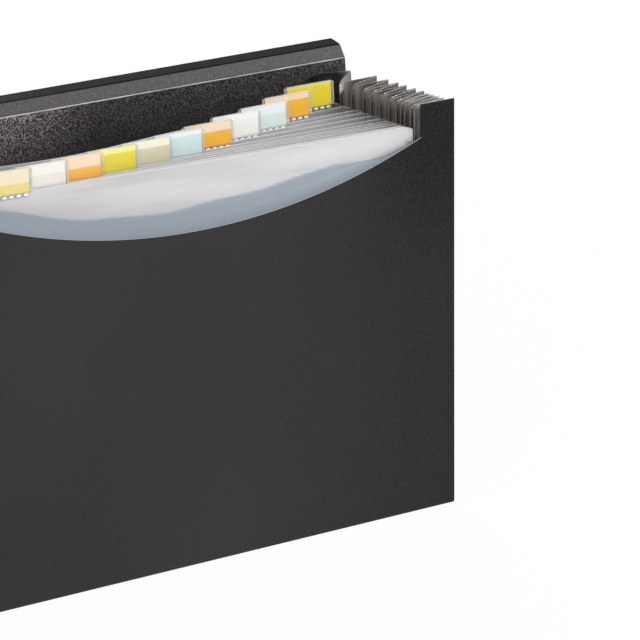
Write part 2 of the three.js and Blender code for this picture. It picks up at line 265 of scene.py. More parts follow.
def surface(name, points, body, material, wrap=False, caps=False, attributes=None):
    """A piece from an array of points (rows, columns, 3), with float attributes of the same grid."""
    rows, columns = points.shape[:2]
    faces = grid_faces(rows, columns, wrap).tolist()
    if caps:
        faces.append([i * columns for i in range(rows)][::-1])
        faces.append([i * columns + columns - 1 for i in range(rows)])
    mesh = bpy.data.meshes.new(name)
    mesh.from_pydata(points.reshape(-1, 3).tolist(), [], faces)
    for key, values in (attributes or {}).items():
        layer = mesh.attributes.new(key, "FLOAT", "POINT")
        layer.data.foreach_set("value", np.asarray(values, np.float32).ravel())
    mesh.polygons.foreach_set("use_smooth", [len(f) == 4 for f in faces])
    mesh.materials.append(material)
    mesh.update()
    piece = bpy.data.objects.new(name, mesh)
    bpy.context.scene.collection.objects.link(piece)
    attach(piece, body)
    return piece


def thicken(piece, thickness):
    """Gives a one-sided sheet its wall, half to each side."""
    solidify = piece.modifiers.new("wall", "SOLIDIFY")
    solidify.thickness = thickness
    solidify.offset = 0


def new_material(name):
    material = bpy.data.materials.new(name)
    material.use_nodes = True
    tree = material.node_tree
    shader = tree.nodes["Principled BSDF"]
    return material, tree, shader


def object_noise(tree, scale, detail=2.0, roughness=0.5, stretch=None):
    """Noise in the folder's own frame. stretch multiplies the place, so a small share draws it out."""
    coordinates = tree.nodes.new("ShaderNodeTexCoord")
    noise = tree.nodes.new("ShaderNodeTexNoise")
    noise.inputs["Scale"].default_value = scale
    noise.inputs["Detail"].default_value = detail
    noise.inputs["Roughness"].default_value = roughness
    place = coordinates.outputs["Object"]
    if stretch:
        mapping = tree.nodes.new("ShaderNodeMapping")
        mapping.inputs["Scale"].default_value = stretch
        tree.links.new(place, mapping.inputs["Vector"])
        place = mapping.outputs["Vector"]
    tree.links.new(place, noise.inputs["Vector"])
    return noise


def ramp(tree, source, low, high, low_value=0.0, high_value=1.0):
    """Maps a value from low..high to low_value..high_value, held at the ends."""
    node = tree.nodes.new("ShaderNodeMapRange")
    node.inputs["From Min"].default_value = low
    node.inputs["From Max"].default_value = high
    node.inputs["To Min"].default_value = low_value
    node.inputs["To Max"].default_value = high_value
    tree.links.new(source, node.inputs["Value"])
    return node.outputs["Result"]


def blend_colours(tree, factor, first, second):
    """first where factor is 0 and second where it is 1. Either may be a colour or a socket."""
    mix = tree.nodes.new("ShaderNodeMix")
    mix.data_type = "RGBA"
    tree.links.new(factor, mix.inputs["Factor"])
    for key, value in (("A", first), ("B", second)):
        socket = [s for s in mix.inputs if s.name == key and s.type == "RGBA"][0]
        if isinstance(value, bpy.types.NodeSocket):
            tree.links.new(value, socket)
        else:
            socket.default_value = (*value, 1)
    return [s for s in mix.outputs if s.type == "RGBA"][0]


def bump(tree, shader, height, strength, distance):
    node = tree.nodes.new("ShaderNodeBump")
    node.inputs["Strength"].default_value = strength
    node.inputs["Distance"].default_value = distance
    tree.links.new(height, node.inputs["Height"])
    tree.links.new(node.outputs["Normal"], shader.inputs["Normal"])


def read_attribute(tree, name):
    node = tree.nodes.new("ShaderNodeAttribute")
    node.attribute_name = name
    return node.outputs["Fac"]


# The grain of the black sheet: scales of the noise, and the depth of the finer one.
FINE_GRAIN = 1500.0
COARSE_GRAIN = 1050.0
GRAIN_HEIGHT = 0.12 * MM

# Ranges of a noise value that are stretched to 0..1.
NOISE_MIDDLE = (0.35, 0.65)
NOISE_WIDE = (0.3, 0.7)

# Places along an axis of the folder, in metres, where a finish or a painted light or shade starts to
# change and where it has changed.
SHADED_TO_RIGHT = (0.02, 0.165)
CORNER_TO_RIGHT = (0.1, 0.15)
CORNER_UPWARDS = (0.14, 0.21)
LIT_TO_LEFT = (0.0, -0.15)
LIT_UPWARDS = (0.207, 0.24)
BACK_HALF = (0.0, 0.02)
SEE_THROUGH_SHADE_TO_RIGHT = (0.04, 0.145)


def row_place(tree):
    """The place in the folder's own frame, as a node with X, Y and Z."""
    coordinates = tree.nodes.new("ShaderNodeTexCoord")
    place = tree.nodes.new("ShaderNodeSeparateXYZ")
    tree.links.new(coordinates.outputs["Object"], place.inputs["Vector"])
    return place


def product(tree, first, second):
    node = tree.nodes.new("ShaderNodeMath")
    node.operation = "MULTIPLY"
    tree.links.new(first, node.inputs[0])
    if isinstance(second, bpy.types.NodeSocket):
        tree.links.new(second, node.inputs[1])
    else:
        node.inputs[1].default_value = second
    return node.outputs[0]


def seen_ray(tree):
    """1 for rays from the camera, also by way of a gloss or through glass, and 0 for the rest."""
    path = tree.nodes.new("ShaderNodeLightPath")
    total = path.outputs["Is Camera Ray"]
    for kind in ("Is Glossy Ray", "Is Transmission Ray"):
        node = tree.nodes.new("ShaderNodeMath")
        node.operation = "MAXIMUM"
        tree.links.new(total, node.inputs[0])
        tree.links.new(path.outputs[kind], node.inputs[1])
        total = node.outputs[0]
    return total


def face_normal(tree):
    """The face's own normal, as a node with X, Y and Z."""
    geometry = tree.nodes.new("ShaderNodeNewGeometry")
    normal = tree.nodes.new("ShaderNodeSeparateXYZ")
    tree.links.new(geometry.outputs["True Normal"], normal.inputs["Vector"])
    return normal


def front_facing(tree):
    """1 on faces that look towards the front and 0 on those that look back."""
    return ramp(tree, face_normal(tree).outputs["Y"], -0.3, 0.1, 1.0, 0.0)


def up_facing_edge(tree):
    """1 on the cut edges that look up, for a painted highlight: the normal has a share along Z and none
    along Y.
    """
    normal = face_normal(tree)
    depth = tree.nodes.new("ShaderNodeMath")
    depth.operation = "ABSOLUTE"
    tree.links.new(normal.outputs["Y"], depth.inputs[0])
    level = ramp(tree, depth.outputs[0], 0.02, 0.06, 1.0, 0.0)
    upward = ramp(tree, normal.outputs["Z"], 0.3, 0.5)
    above_floor = ramp(tree, row_place(tree).outputs["Z"], 0.1, 0.12)
    return product(tree, product(tree, level, upward), above_floor)


def black_sheet(name, shade, specular, coarse_everywhere=False):
    """Matt sheet with a sand grain, coarser on the back wall's inside, with painted shade towards the
    right.

    shade multiplies the cover's colour, for lit and shaded copies of the sheet. The grain sits in the
    colour, the roughness and the bump. Painted shade also darkens the sheet's upper right corner. The
    wall's inside has painted light that makes it paler towards the left, and painted shade that makes it
    darker the lower it lies. coarse_everywhere gives the coarse grain an even tone instead.
    """
    material, tree, shader = new_material(name)
    base = np.array(colours().cover) * shade
    place = row_place(tree)
    fine = object_noise(tree, FINE_GRAIN, 3.0, 0.6)
    coarse = object_noise(tree, COARSE_GRAIN, 2.0, 0.6)
    cloud = object_noise(tree, 9.0, 3.0)
    tone = blend_colours(tree, ramp(tree, cloud.outputs["Fac"], *NOISE_MIDDLE), base * 0.9, base * 1.1)
    # Painted shade: the sheet grows darker towards the right.
    tone = blend_colours(tree, ramp(tree, place.outputs["X"], *SHADED_TO_RIGHT), tone, base * 0.45)
    # Painted shade at the sheet's upper right corner.
    along = ramp(tree, place.outputs["X"], *CORNER_TO_RIGHT)
    corner = product(tree, along, ramp(tree, place.outputs["Z"], *CORNER_UPWARDS))
    tone = blend_colours(tree, corner, tone, base * 0.1)
    front = blend_colours(tree, ramp(tree, fine.outputs["Fac"], 0.5, 0.75), tone, base * 1.8)
    speck = ramp(tree, coarse.outputs["Fac"], 0.46, 0.6)
    if coarse_everywhere:
        rear = blend_colours(tree, speck, base * 0.65, base * 1.2)
    else:
        # Painted light: the wall's inside, its grain specks most, grows paler towards the left.
        lit_left = ramp(tree, place.outputs["X"], *LIT_TO_LEFT)
        lit_speck = blend_colours(tree, lit_left, base * 3.6, base * 30.0)
        ground = blend_colours(tree, lit_left, base * 0.4, base * 1.7)
        rear = blend_colours(tree, speck, ground, lit_speck)
        # Painted shade: the wall's inside grows darker the lower it lies.
        rear = blend_colours(tree, ramp(tree, place.outputs["Z"], *LIT_UPWARDS), base * 0.35, rear)
    inside = product(tree, ramp(tree, place.outputs["Y"], *BACK_HALF), front_facing(tree))
    whole = blend_colours(tree, inside, front, rear)
    # Cut edges that look up: partly the raw edge's paler colour, partly a painted highlight.
    raw_and_lit = blend_colours(tree, up_facing_edge(tree), whole, tuple(colours().cut_edge))
    tree.links.new(raw_and_lit, shader.inputs["Base Color"])
    tree.links.new(ramp(tree, fine.outputs["Fac"], *NOISE_WIDE, 0.62, 0.48), shader.inputs["Roughness"])
    shader.inputs["Specular IOR Level"].default_value = specular
    bump(tree, shader, fine.outputs["Fac"], 0.55, GRAIN_HEIGHT)
    return material


def stress_line():
    """Sheet whitened where it has been bent: pale grey, with breaks along its length."""
    material, tree, shader = new_material("stress_line")
    pale = np.array(colours().crease)
    breaks = object_noise(tree, 60.0, 4.0)
    tone = blend_colours(tree, ramp(tree, breaks.outputs["Fac"], 0.35, 0.6), pale * 0.45, pale)
    tree.links.new(tone, shader.inputs["Base Color"])
    shader.inputs["Roughness"].default_value = 0.38
    return material


def smoky_film():
    """Brown see-through film, darker in the body, with a satin gloss.

    The attribute fold is 1 where a fold has whitened the film, with a painted highlight, and where light
    is painted on a pleat, 2 at a painted glint, and -1 where it lies close to the back wall and painted
    shade makes it as black as that.
    """
    material, tree, shader = new_material("smoky_film")
    base = np.array(colours().gusset)
    haze = object_noise(tree, 38.0, 2.0)
    body = blend_colours(tree, ramp(tree, haze.outputs["Fac"], *NOISE_WIDE), base * 0.5, base * 0.9)
    fold = read_attribute(tree, "fold")
    # Painted shade, with clearer film, where the film lies by the back wall.
    body = blend_colours(tree, ramp(tree, fold, -1, 0), base * 0.2, body)
    # Whitened folds, with a painted highlight, and painted light on the lit pleats.
    tone = blend_colours(tree, ramp(tree, fold, 0, 1), body, tuple(colours().gusset_fold))
    # Painted glints, in the weld's white.
    tone = blend_colours(tree, ramp(tree, fold, 1, 2), tone, tuple(colours().weld))
    tree.links.new(tone, shader.inputs["Base Color"])
    tree.links.new(ramp(tree, haze.outputs["Fac"], *NOISE_WIDE, 0.2, 0.34), shader.inputs["Roughness"])
    tree.links.new(ramp(tree, fold, -1, 0, 0.4, 0.88), shader.inputs["Alpha"])
    shader.inputs["Coat Weight"].default_value = 0.3
    shader.inputs["Coat Roughness"].default_value = 0.12
    bump(tree, shader, haze.outputs["Fac"], 0.1, 0.5 * MM)
    return material


def frosted_film(name, alpha, coat, fade=1.0):
    """Frosted clear film of the dividers. fade is the share of alpha left at the right: clearer film
    there is a painted shade.

    Where the attribute band is 1 it shows painted shade from the cover in front, and towards 2 painted
    light makes it lighter again, behind the cover's cut-out edge. The attribute top is 1 on the upper
    edge, which gets a painted highlight.
    """
    material, tree, shader = new_material(name)
    base = np.array(colours().divider)
    low = np.array(colours().divider_low)
    band = read_attribute(tree, "band")
    top = read_attribute(tree, "top")
    # Painted shade from the cover, lighter again towards the arc with painted light.
    body = blend_colours(tree, ramp(tree, band, 0, 1), film_haze(tree, shader, base, coat), low)
    body = blend_colours(tree, ramp(tree, band, 1, 2), body, low * 1.4)
    # Painted highlight along the top edge.
    tree.links.new(blend_colours(tree, top, body, base), shader.inputs["Base Color"])
    # Painted shade: the film and its top edge grow see-through towards the right, so the stack shows
    # darker.
    right = row_place(tree).outputs["X"]
    clear = ramp(tree, right, *SEE_THROUGH_SHADE_TO_RIGHT, alpha, alpha * fade)
    edge = ramp(tree, right, *SEE_THROUGH_SHADE_TO_RIGHT, 0.55, 0.3)
    tree.links.new(blend_colours(tree, top, clear, edge), shader.inputs["Alpha"])
    return material


def pocket_film():
    """Clear film of the tab pockets, frosted along the welded rim by the attribute rim."""
    material, tree, shader = new_material("pocket_film")
    rim = read_attribute(tree, "rim")
    body = film_haze(tree, shader, np.array(colours().divider), 0.1)
    tree.links.new(blend_colours(tree, rim, body, tuple(colours().weld)), shader.inputs["Base Color"])
    tree.links.new(ramp(tree, rim, 0, 1, 0.02, 0.35), shader.inputs["Alpha"])
    return material


def film_haze(tree, shader, base, coat):
    """Gives film its gloss and ripple, and returns its colour in streaks that run along the folder."""
    haze = object_noise(tree, 60.0, 3.0, stretch=(0.1, 1.0, 1.0))
    tree.links.new(ramp(tree, haze.outputs["Fac"], *NOISE_WIDE, 0.22, 0.34), shader.inputs["Roughness"])
    shader.inputs["Coat Weight"].default_value = coat
    shader.inputs["Coat Roughness"].default_value = 0.1
    bump(tree, shader, object_noise(tree, 45.0, 2.0).outputs["Fac"], 0.1, 1.0 * MM)
    return blend_colours(tree, ramp(tree, haze.outputs["Fac"], *NOISE_MIDDLE), base * 0.86, base * 1.1)


def heat_seal():
    """Milky weld with a clear dark rim, by the attribute rim."""
    material, tree, shader = new_material("heat_seal")
    rim = read_attribute(tree, "rim")
    tone = blend_colours(tree, rim, tuple(colours().weld), tuple(colours().weld_rim))
    tree.links.new(tone, shader.inputs["Base Color"])
    shader.inputs["Roughness"].default_value = 0.25
    return material


def card_paper(name, low, high, lower, upper, share):
    """Card in two tones: the upper one over the given share of the height from low to high."""
    material, tree, shader = new_material(name)
    step = high - (high - low) * share
    soft = 0.25 * MM
    zone = ramp(tree, row_place(tree).outputs["Z"], step - soft, step + soft)
    fibre = object_noise(tree, 700.0, 3.0)
    grain = ramp(tree, fibre.outputs["Fac"], *NOISE_WIDE)
    lower_tone = blend_colours(tree, grain, srgb(lower), np.array(srgb(lower)) * 1.1)
    tone = blend_colours(tree, zone, lower_tone, srgb(upper))
    tree.links.new(tone, shader.inputs["Base Color"])
    shader.inputs["Roughness"].default_value = 0.7
    bump(tree, shader, fibre.outputs["Fac"], 0.1, 0.05 * MM)
    return material


def moulded_black():
    material, tree, shader = new_material("moulded_black")
    fine = object_noise(tree, 900.0, 2.0)
    base = np.array(colours().button)
    tone = blend_colours(tree, ramp(tree, fine.outputs["Fac"], *NOISE_WIDE), base * 0.8, base * 1.5)
    tree.links.new(tone, shader.inputs["Base Color"])
    tree.links.new(ramp(tree, fine.outputs["Fac"], *NOISE_WIDE, 0.28, 0.4), shader.inputs["Roughness"])
    return material


def bright_metal():
    material, tree, shader = new_material("bright_metal")
    fine = object_noise(tree, 1200.0, 2.0)
    base = np.array(colours().eyelet)
    tone = blend_colours(tree, ramp(tree, fine.outputs["Fac"], *NOISE_WIDE), base * 0.9, base)
    tree.links.new(tone, shader.inputs["Base Color"])
    shader.inputs["Metallic"].default_value = 1.0
    tree.links.new(ramp(tree, fine.outputs["Fac"], *NOISE_WIDE, 0.16, 0.3), shader.inputs["Roughness"])
    return material


def material_once(name, make):
    return bpy.data.materials.get(name) or make()


def node_points(name):
    """The corner points of a CAD node as an array (points, 3)."""
    mesh = frame["nodes"][name].data
    flat = np.empty(len(mesh.vertices) * 3)
    mesh.vertices.foreach_get("co", flat)
    return flat.reshape(-1, 3)


def sheet_plane(name):
    """The middle surface of a divider, y = a + b x + c z + d x z, fitted to the points below its tab."""
    points = node_points(name)
    low = points[points[:, 2] < points[:, 2].min() + 1 * MM]
    high = points[np.abs(points[:, 2] - shoulder_height(name)) < 4 * MM]
    picked = np.vstack([low, high[np.abs(high[:, 0]) > np.abs(high[:, 0]).max() - 4 * MM]])
    x, y, z = picked.T
    terms = np.stack([np.ones_like(x), x, z, x * z], 1)
    return np.linalg.lstsq(terms, y, rcond=None)[0]


def shoulder_height(name):
    """The height of a divider's top edge beside its tab."""
    points = node_points(name)
    side = points[np.abs(points[:, 0]) > points[:, 0].max() - 0.5 * MM]
    return float(side[:, 2].max()) + 3 * MM


def plane_y(plane, x, z):
    return plane[0] + plane[1] * x + plane[2] * z + plane[3] * x * z


PLANES = {name: sheet_plane(name) for name in DIVIDER_NAMES}
SHOULDER = shoulder_height(DIVIDER_NAMES[0])
SHEET_END = float(node_points(DIVIDER_NAMES[0])[:, 0].max())
TAB_TOP = float(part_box(DIVIDER_NAMES[0])[1][2])


def card_box(index):
    low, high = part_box(CARD_NAMES[index])
    return np.array(low), np.array(high)


def smooth_step(value):
    t = np.clip(value, 0, 1)
    return t * t * (3 - 2 * t)


def rounded_top(x, left, right, top, radius):
    """Height of a top edge whose two corners are quarter circles of the radius."""
    inside = np.clip(np.minimum(x - left, right - x), 0, radius)
    return top - radius + np.sqrt(np.maximum(radius**2 - (radius - inside) ** 2, 0))


class FOLDER_OT_cover(bpy.types.Operator):
    """Finishes the cover, the flap's strips and its panel, and adds the raised line at each crease."""

    bl_idname = "folder.cover"
    bl_label = "Cover and Flap"

    def execute(self, context):
        # The flap's first strip is a lit copy of the sheet, a painted sheen, and the other strips a
        # shaded copy, a painted shade.
        black = material_once("black_sheet", lambda: black_sheet("black_sheet", 1.0, 0.16))
        lit_strip = material_once("lit_sheet", lambda: black_sheet("lit_sheet", 2.7, 0.3, True))
        shaded = material_once("shaded_sheet", lambda: black_sheet("shaded_sheet", 0.08, 0.06))
        line = material_once("stress_line", stress_line)
        finishes = {"cover": black, "flap_panel": black, STRIP_NAMES[0]: lit_strip}
        finishes.update({name: shaded for name in STRIP_NAMES[1:]})
        for name, finish in finishes.items():
            node = frame["nodes"][name]
            node.data.materials.clear()
            node.data.materials.append(finish)
        for joint in frame["joints"]:
            self.bead(joint, line if joint["parent"] == BAG else shaded)
        return {"FINISHED"}

    def bead(self, joint, material):
        """A round bead along a crease: a circle carried along X at the hinge line."""
        centre = np.array(joint["pos_m"])
        turn = np.linspace(0, 2 * np.pi, 13)[:-1]
        along = np.linspace(-HALF_WIDTH, HALF_WIDTH, 61)
        radius = sizes().crease_bead * (1 - 0.06 * np.cos(along * 310) * np.cos(along * 97))
        points = np.empty((len(turn), len(along), 3))
        points[..., 0] = along
        points[..., 1] = centre[1] + radius * np.cos(turn)[:, None]
        points[..., 2] = centre[2] + radius * np.sin(turn)[:, None]
        surface(
            f"{joint['name']}_line", points[::-1], joint["child"], material,
            wrap=True, caps=True,
        )


class FOLDER_OT_gussets(bpy.types.Operator):
    """Makes the two pleated gussets in smoky film."""

    bl_idname = "folder.gussets"
    bl_label = "Gussets"

    def execute(self, context):
        film = material_once("smoky_film", smoky_film)
        for side, name in ((1, "gusset_right"), (-1, "gusset_left")):
            points, fold = self.bellows(side, name)
            piece = surface(
                f"{name}_film", points, BAG, film, attributes={"fold": fold}
            )
            thicken(piece, sizes().film)
            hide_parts(name)
        return {"FINISHED"}

    def bellows(self, side, name):
        """A path of folds carried up the folder.

        Each fold is a half circle of the fold radius and each pleat a straight line with a slight
        bow. The path is worked out anew at each height, because the pockets open towards the top.
        """
        s = sizes()
        low, high = (np.array(c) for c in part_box(name))
        levels = np.concatenate([np.linspace(0, 0.965, 22), [0.976, 0.985, 0.992, 0.997, 1]])
        inner = SHEET_END + 0.75 * MM
        inner_inset = HALF_WIDTH - inner
        radius = s.fold_radius
        z_guess = low[2] + (high[2] - low[2]) * levels
        front_y = np.full_like(z_guess, low[1] + 0.15 * MM)
        wall = self.wall_y(z_guess) - 0.45 * MM
        folds = np.array([plane_y(PLANES[n], side * inner, z_guess) for n in DIVIDER_NAMES])
        tips = [(np.full_like(front_y, inner_inset - s.pleat_width + radius), front_y + radius, -1)]
        for i, y in enumerate(folds):
            tips.append((np.full_like(y, inner_inset - radius), y, 1))
            after = folds[i + 1] if i + 1 < len(folds) else wall - radius
            half = (after - y) / 2
            run = np.sqrt(np.maximum(s.pleat_width**2 - (half - radius) ** 2, 0))
            tips.append((inner_inset - run + radius, y + half, -1))
        tips.append((np.full_like(wall, inner_inset - radius), wall - radius, 1))
        angle = np.linspace(0, np.pi, 9)
        columns_inset = [np.full_like(z_guess, inner_inset - FLANGE)]
        columns_y = [front_y]
        weight = [0.0]
        starts = []
        last = len(tips) - 1
        for k, (inset, y, way) in enumerate(tips):
            starts.append(len(weight))
            for a in angle:
                columns_inset.append(inset + way * radius * np.sin(a))
                columns_y.append(y - radius * np.cos(a))
                # Folds are whitened, partly for real and partly as a painted highlight, stronger on the
                # inner folds;
                white = np.sin(a) ** 2 * (1.0 if way > 0 else 0.7)
                # the last fold, by the back wall, gets painted shade.
                weight.append(white if k < last else -1.0)
            if k < last:
                # Painted light on every other pleat wall, and painted shade on the last pleat by the back
                # wall.
                lit = (0.9 if k < last - 1 else -1.0) if k % 2 == 0 else 0.0
                self.pleat(columns_inset, columns_y, weight, tips[k], tips[k + 1], radius, lit)
        # Painted shade on the strip welded to the back wall.
        columns_inset.append(np.full_like(z_guess, FLANGE))
        columns_y.append(wall)
        weight.append(-1.0)
        inset = np.array(columns_inset)
        y = np.array(columns_y)
        top = self.top_edge(inset[:, -1], inner_inset, high[2])
        z = low[2] + (top[:, None] - low[2]) * levels
        points = np.stack([side * (HALF_WIDTH - inset), y, z], -1)
        fold = self.whitening(np.array(weight), len(levels), starts, len(angle))
        return (points if side < 0 else points[::-1]), (fold if side < 0 else fold[::-1])

    def whitening(self, weight, rows, starts, width):
        """The attribute fold: the columns' weights, a pale top edge and a glint on a few fold tops.

        starts holds the first column of each fold, and width is the number of columns of one. The
        foremost fold and the start of its pleat get a painted highlight at the top.
        """
        pale = 0.3
        glint = 1.7
        fold = np.repeat(weight[:, None], rows, 1)
        crest = np.full(len(weight), pale)
        crest[0] = 0.0
        for k in (2, 4, 6, 8, len(starts) - 3):
            crest[starts[k] : starts[k] + width] = glint
        crest = np.where(weight < 0, weight, crest)
        fold[:, -4:] = np.maximum(fold[:, -4:], crest[:, None])
        # Painted highlight on the top of the foremost fold.
        fold[1:12, -3:] = 1.0
        return fold

    def pleat(self, columns_inset, columns_y, weight, start, end, radius, lit):
        """Points of one pleat between two folds, bowed by a sine.

        lit paints light on it towards its end, or painted shade with clearer film when negative.
        """
        y0 = start[1] + radius
        y1 = end[1] - radius
        bow = np.minimum(np.abs(end[1] - start[1]) * 0.05, 0.5 * MM) * (-1 if lit > 0 else 1)
        turning = 0.55 if lit > 0 else 0.15
        for t in np.linspace(0, 1, 9)[1:-1]:
            columns_inset.append(start[0] * (1 - t) + end[0] * t)
            columns_y.append(y0 * (1 - t) + y1 * t + bow * np.sin(np.pi * t))
            weight.append(lit * smooth_step((t - turning) / 0.35))

    def wall_y(self, z):
        """The inner face of the back wall: a line from the cover's foot to the first crease."""
        crease = frame["joints"][0]["pos_m"]
        foot = -COVER_LOW[1]
        share = (z - COVER_SHEET / 2) / (crease[2] - COVER_SHEET / 2)
        return (foot - COVER_SHEET / 2) * (1 - share) + crease[1] * share - COVER_SHEET / 2

    def top_edge(self, inset, inner_inset, top):
        """Level near the outer folds, then a fall, then a quarter circle at the inner folds."""
        s = sizes()
        tip = inner_inset + 0.3 * MM
        shoulder = tip - s.pleat_corner
        fall = top - s.pleat_drop * np.clip(inset / shoulder, 0, 1)
        inside = np.clip(inset - shoulder, 0, s.pleat_corner)
        return fall - s.pleat_corner + np.sqrt(s.pleat_corner**2 - inside**2)


class FOLDER_OT_dividers(bpy.types.Operator):
    """Makes the frosted dividers with their tab pockets and weld marks."""

    bl_idname = "folder.dividers"
    bl_label = "Dividers"

    def execute(self, context):
        # The rear dividers' film is more see-through, so the stack behind shows darker: a painted shade.
        front_film = material_once("front_film", lambda: frosted_film("front_film", 0.86, 0.4))
        rear_film = material_once("rear_film", lambda: frosted_film("rear_film", 0.52, 0.12, 0.15))
        sleeve_film = material_once("pocket_film", pocket_film)
        seal = material_once("heat_seal", heat_seal)
        rng = np.random.default_rng(7)
        for index, name in enumerate(DIVIDER_NAMES):
            phase = rng.uniform(0, 2 * np.pi, 4)
            sheet = self.sheet(index, name, phase, front_film if index < 2 else rear_film)
            pocket = self.pocket(index, name, sleeve_film)
            marks = self.marks(index, name, seal)
            for piece in (sheet, pocket, marks):
                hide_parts(name)
        return {"FINISHED"}

    def sheet(self, index, name, phase, material):
        """The divider's plane with a ripple that dies out at the two welded sides."""
        s = sizes()
        x = np.linspace(-SHEET_END, SHEET_END, 97)
        x[[1, -2]] = [-SHEET_END + 0.4 * MM, SHEET_END - 0.4 * MM]
        top = rounded_top(x, -SHEET_END, SHEET_END, SHOULDER, 3 * MM)
        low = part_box(name)[0][2]
        hidden = np.linspace(0, 0.8, 13)[:-1]
        shown = np.linspace(0.8, 0.99, 44)[:-1]
        v = np.concatenate([hidden, shown, [0.99, 0.9955, 1]])
        z = low + (top[:, None] - low) * v
        xx = np.repeat(x[:, None], len(v), 1)
        free = np.cos(xx / SHEET_END * np.pi / 2) ** 0.7
        rise = (z - low) / (SHOULDER - low)
        ripple = (
            np.sin(xx * 21 + phase[0]) * 0.5
            + np.sin(xx * 47 + phase[1] + z * 9) * 0.3
            + np.sin(xx * 9 + z * 22 + phase[2]) * 0.5
        )
        hump = np.cos(np.clip((xx - LEAN_MIDDLE) / LEAN_REACH, -1, 1) * np.pi / 2) ** 2
        lean = self.lean(index) * hump * rise**2
        y = plane_y(PLANES[name], xx, z) + s.wave * free * rise * ripple - lean
        band = self.shade_band(xx, z) if index == 0 else np.zeros_like(z)
        # Where the painted highlight along the top edge goes.
        lip = smooth_step((z - (top[:, None] - 0.8 * MM)) / (0.5 * MM))
        points = np.stack([xx, y, z], -1)
        piece = surface(
            f"{name}_sheet", points[::-1], BAG, material,
            attributes={"band": band[::-1], "top": lip[::-1]},
        )
        thicken(piece, s.film)
        return piece

    def shade_band(self, x, z):
        """Painted shade 1 below a wavy line above the cut-out's arc, rising to 2 towards the arc for
        painted light.
        """
        lift = 10 * MM * smooth_step((134 * MM - x) / (46 * MM))
        dip = 3.5 * MM * smooth_step((-116 * MM - x) / (26 * MM))
        wander = 1.5 * MM * np.sin(x * 30 + 0.4) + 0.5 * MM * np.sin(x * 110)
        arc = self.cutout_height(x)
        band = smooth_step((arc + lift - dip + wander - z) / (1.1 * MM) + 0.5)
        return band * (1 + smooth_step((arc + 7 * MM - z) / (8 * MM)))

    def lean(self, index):
        """How far a divider's free top leans forward, left of its tab: most for the rearmost ones."""
        behind = len(DIVIDER_NAMES) - 1 - index
        return LEANS[behind] if behind < len(LEANS) else 0.0

    def cutout_height(self, x):
        """The arc of the thumb cut-out, from its lowest point and its height at the two sides."""
        points = node_points("cover")
        front = points[(points[:, 1] < COVER_LOW[1] + 0.1 * MM) & (points[:, 2] > 0.5 * COVER_HIGH[2])]
        inner = front[np.abs(front[:, 0]) < HALF_WIDTH - 2 * MM]
        lowest = inner[:, 2].min()
        ends = inner[inner[:, 2] < inner[:, 2].max() - 2 * MM]
        half = np.abs(ends[:, 0]).max()
        rise = ends[:, 2].max() - lowest
        radius = (half**2 + rise**2) / (2 * rise)
        return lowest + radius - np.sqrt(radius**2 - np.minimum(np.abs(x), half) ** 2)

    def pocket(self, index, name, material):
        """A flattened sleeve, open at the top: a long loop in plan carried up the tab."""
        s = sizes()
        low, high = card_box(index)
        middle = (low[0] + high[0]) / 2
        half = s.tab_width / 2
        depth = s.tab_depth / 2 - 0.1 * MM
        turn = np.linspace(-np.pi / 2, np.pi / 2, 9)
        straight = np.linspace(-1, 1, 21)[1:-1]
        flat = half - depth
        right = np.stack([flat + depth * np.cos(turn), depth * np.sin(turn)], 1)
        rear = np.stack([-straight * flat, np.full_like(straight, depth)], 1)
        loop = np.vstack([right, rear, -right, -rear])
        x = middle + loop[:, 0]
        foot = SHOULDER - 0.8 * MM
        top = rounded_top(x, middle - half, middle + half, TAB_TOP, 1.8 * MM)
        v = np.linspace(0, 1, 15)
        z = foot + (top[:, None] - foot) * v
        pinch = smooth_step((z - foot) / (3.5 * MM)) * 0.72 + 0.28
        xx = np.repeat(x[:, None], len(v), 1)
        centre = plane_y(PLANES[name], xx, z) - 0.6 * MM
        y = centre + loop[:, 1][:, None] * pinch
        points = np.stack([xx, y, z], -1)
        side_rim = smooth_step(1 - (half - np.abs(xx - middle)) / (1.3 * MM))
        foot_rim = smooth_step(1 - (z - foot) / (1.2 * MM))
        top_rim = 0.5 * smooth_step(1 - (top[:, None] - z) / (0.8 * MM))
        rim = np.maximum(np.maximum(side_rim, foot_rim), top_rim)
        piece = surface(
            f"{name}_pocket", points, BAG, material, wrap=True, attributes={"rim": rim}
        )
        thicken(piece, 0.16 * MM)
        return piece

